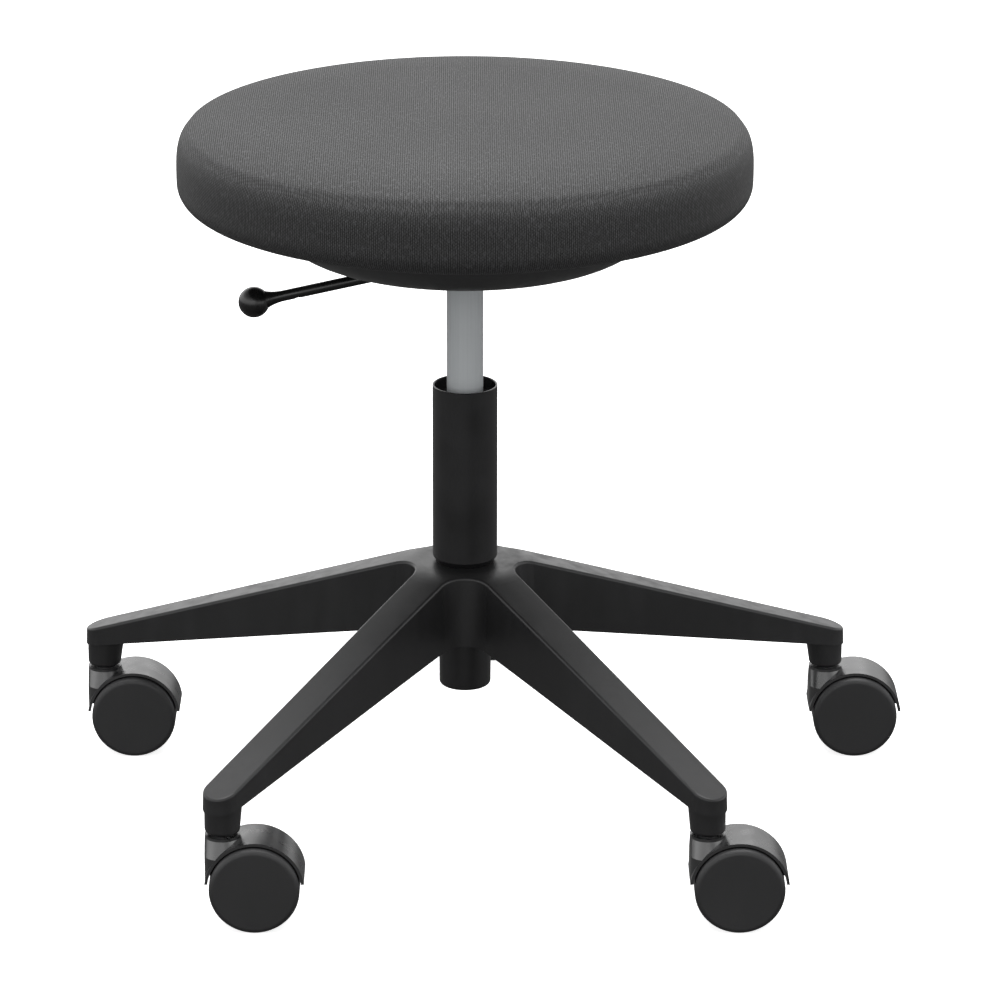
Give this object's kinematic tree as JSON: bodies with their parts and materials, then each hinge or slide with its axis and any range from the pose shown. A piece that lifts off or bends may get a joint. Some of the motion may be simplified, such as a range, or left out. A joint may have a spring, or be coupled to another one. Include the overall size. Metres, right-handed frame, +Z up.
{
  "type": "adjustable swivel stool",
  "caption": "Round padded swivel stool on a gas-spring column with a height lever, a star base and twin-wheel casters.",
  "frame": {"origin": "on the column axis at floor level", "axes": "+Z up along the column; the height lever points to -X and the casters trail to +X; one arm of the base points to +Y, the back"},
  "size_m": [0.6528, 0.5979, 0.5512],
  "materials": {
    "seat_fabric": "knitted melange fabric, dark grey",
    "seat_foam": "moulded polyurethane foam",
    "plywood": "birch plywood",
    "cover_plastic": "fine satin moulded plastic, black",
    "base_nylon": "fine textured glass-filled nylon, black",
    "tube_paint": "semi-gloss black powder coat",
    "plate_paint": "black powder coat",
    "cylinder_steel": "satin grey steel",
    "bright_steel": "zinc-plated steel",
    "rod_chrome": "hard chrome",
    "bush_plastic": "acetal, dark",
    "valve_brass": "turned brass",
    "seal_rubber": "nitrile rubber",
    "knob_plastic": "moulded plastic, black, semi-gloss",
    "hood_plastic": "moulded nylon, black, glossy",
    "wheel_plastic": "moulded nylon, black, satin"
  },
  "bodies": {
    "base": {"base_star": "base_nylon", "stand_tube": "tube_paint", "guide_bush": "bush_plastic", "tube_end_plate": "bright_steel", "bearing_lower_washer": "bright_steel", "caster_stems": "bright_steel", "stem_grip_rings": "bright_steel"},
    "spindle": {"piston_rod": "rod_chrome", "piston": "valve_brass", "piston_seal": "seal_rubber", "bearing_upper_washer": "bright_steel", "bearing_cage": "bush_plastic", "bearing_balls": "bright_steel", "rubber_buffer": "seal_rubber", "retaining_clip": "bright_steel"},
    "seat": {"gas_cylinder": "cylinder_steel", "cylinder_gland": "bush_plastic", "rod_seal": "seal_rubber", "valve_body": "valve_brass", "seat_plate": "plate_paint", "plate_screws": "bright_steel", "tee_nuts": "bright_steel", "seat_board": "plywood", "seat_foam": "seat_foam", "seat_cover": "seat_fabric", "under_cover": "cover_plastic", "under_cover_screws": "bright_steel", "lever_pin": "bright_steel"},
    "lever": {"lever_rod": "plate_paint", "lever_grip": "knob_plastic"},
    "valve": {"valve_pin": "bright_steel"},
    "caster_1": {"caster_1_body": "hood_plastic", "caster_1_axle": "bright_steel"},
    "caster_1_left_wheel": {"caster_1_wheel_a": "wheel_plastic"},
    "caster_1_right_wheel": {"caster_1_wheel_b": "wheel_plastic"},
    "caster_2": {"caster_2_body": "hood_plastic", "caster_2_axle": "bright_steel"},
    "caster_2_left_wheel": {"caster_2_wheel_a": "wheel_plastic"},
    "caster_2_right_wheel": {"caster_2_wheel_b": "wheel_plastic"},
    "caster_3": {"caster_3_body": "hood_plastic", "caster_3_axle": "bright_steel"},
    "caster_3_left_wheel": {"caster_3_wheel_a": "wheel_plastic"},
    "caster_3_right_wheel": {"caster_3_wheel_b": "wheel_plastic"},
    "caster_4": {"caster_4_body": "hood_plastic", "caster_4_axle": "bright_steel"},
    "caster_4_left_wheel": {"caster_4_wheel_a": "wheel_plastic"},
    "caster_4_right_wheel": {"caster_4_wheel_b": "wheel_plastic"},
    "caster_5": {"caster_5_body": "hood_plastic", "caster_5_axle": "bright_steel"},
    "caster_5_left_wheel": {"caster_5_wheel_a": "wheel_plastic"},
    "caster_5_right_wheel": {"caster_5_wheel_b": "wheel_plastic"}
  },
  "joints": [
    {"name": "seat_swivel", "type": "hinge", "parent": "base", "child": "spindle", "pos_m": [0, 0, 0.1], "axis": [0, 0, 1], "continuous": true},
    {"name": "seat_lift", "type": "slide", "parent": "spindle", "child": "seat", "axis": [0, 0, 1], "range_m": [-0.065, 0.065]},
    {"name": "height_lever", "type": "hinge", "parent": "seat", "child": "lever", "pos_m": [-0.032, 0, 0.4793], "axis": [0, 1, 0], "range_deg": [0, 7], "stiffness_Nm_per_rad": 2},
    {"name": "valve_push", "type": "slide", "parent": "seat", "child": "valve", "axis": [0, 0, -1], "range_m": [0, 0.0046]},
    {"name": "caster_1_swivel", "type": "hinge", "parent": "base", "child": "caster_1", "pos_m": [0.28912, 0.09394, 0.065], "axis": [0, 0, 1], "continuous": true},
    {"name": "caster_1_wheel_a_spin", "type": "hinge", "parent": "caster_1", "child": "caster_1_left_wheel", "pos_m": [0.31272, 0.09394, 0.0335], "axis": [0, 1, 0], "continuous": true},
    {"name": "caster_1_wheel_b_spin", "type": "hinge", "parent": "caster_1", "child": "caster_1_right_wheel", "pos_m": [0.31272, 0.09394, 0.0335], "axis": [0, 1, 0], "continuous": true},
    {"name": "caster_2_swivel", "type": "hinge", "parent": "base", "child": "caster_2", "pos_m": [0, 0.304, 0.065], "axis": [0, 0, 1], "continuous": true},
    {"name": "caster_2_wheel_a_spin", "type": "hinge", "parent": "caster_2", "child": "caster_2_left_wheel", "pos_m": [0.0236, 0.304, 0.0335], "axis": [0, 1, 0], "continuous": true},
    {"name": "caster_2_wheel_b_spin", "type": "hinge", "parent": "caster_2", "child": "caster_2_right_wheel", "pos_m": [0.0236, 0.304, 0.0335], "axis": [0, 1, 0], "continuous": true},
    {"name": "caster_3_swivel", "type": "hinge", "parent": "base", "child": "caster_3", "pos_m": [-0.28912, 0.09394, 0.065], "axis": [0, 0, 1], "continuous": true},
    {"name": "caster_3_wheel_a_spin", "type": "hinge", "parent": "caster_3", "child": "caster_3_left_wheel", "pos_m": [-0.26552, 0.09394, 0.0335], "axis": [0, 1, 0], "continuous": true},
    {"name": "caster_3_wheel_b_spin", "type": "hinge", "parent": "caster_3", "child": "caster_3_right_wheel", "pos_m": [-0.26552, 0.09394, 0.0335], "axis": [0, 1, 0], "continuous": true},
    {"name": "caster_4_swivel", "type": "hinge", "parent": "base", "child": "caster_4", "pos_m": [-0.17869, -0.24594, 0.065], "axis": [0, 0, 1], "continuous": true},
    {"name": "caster_4_wheel_a_spin", "type": "hinge", "parent": "caster_4", "child": "caster_4_left_wheel", "pos_m": [-0.15509, -0.24594, 0.0335], "axis": [0, 1, 0], "continuous": true},
    {"name": "caster_4_wheel_b_spin", "type": "hinge", "parent": "caster_4", "child": "caster_4_right_wheel", "pos_m": [-0.15509, -0.24594, 0.0335], "axis": [0, 1, 0], "continuous": true},
    {"name": "caster_5_swivel", "type": "hinge", "parent": "base", "child": "caster_5", "pos_m": [0.17869, -0.24594, 0.065], "axis": [0, 0, 1], "continuous": true},
    {"name": "caster_5_wheel_a_spin", "type": "hinge", "parent": "caster_5", "child": "caster_5_left_wheel", "pos_m": [0.20229, -0.24594, 0.0335], "axis": [0, 1, 0], "continuous": true},
    {"name": "caster_5_wheel_b_spin", "type": "hinge", "parent": "caster_5", "child": "caster_5_right_wheel", "pos_m": [0.20229, -0.24594, 0.0335], "axis": [0, 1, 0], "continuous": true}
  ],
  "couplings": [
    {"joint": "valve_push", "follows": "height_lever", "m_per_rad": 0.035}
  ]
}
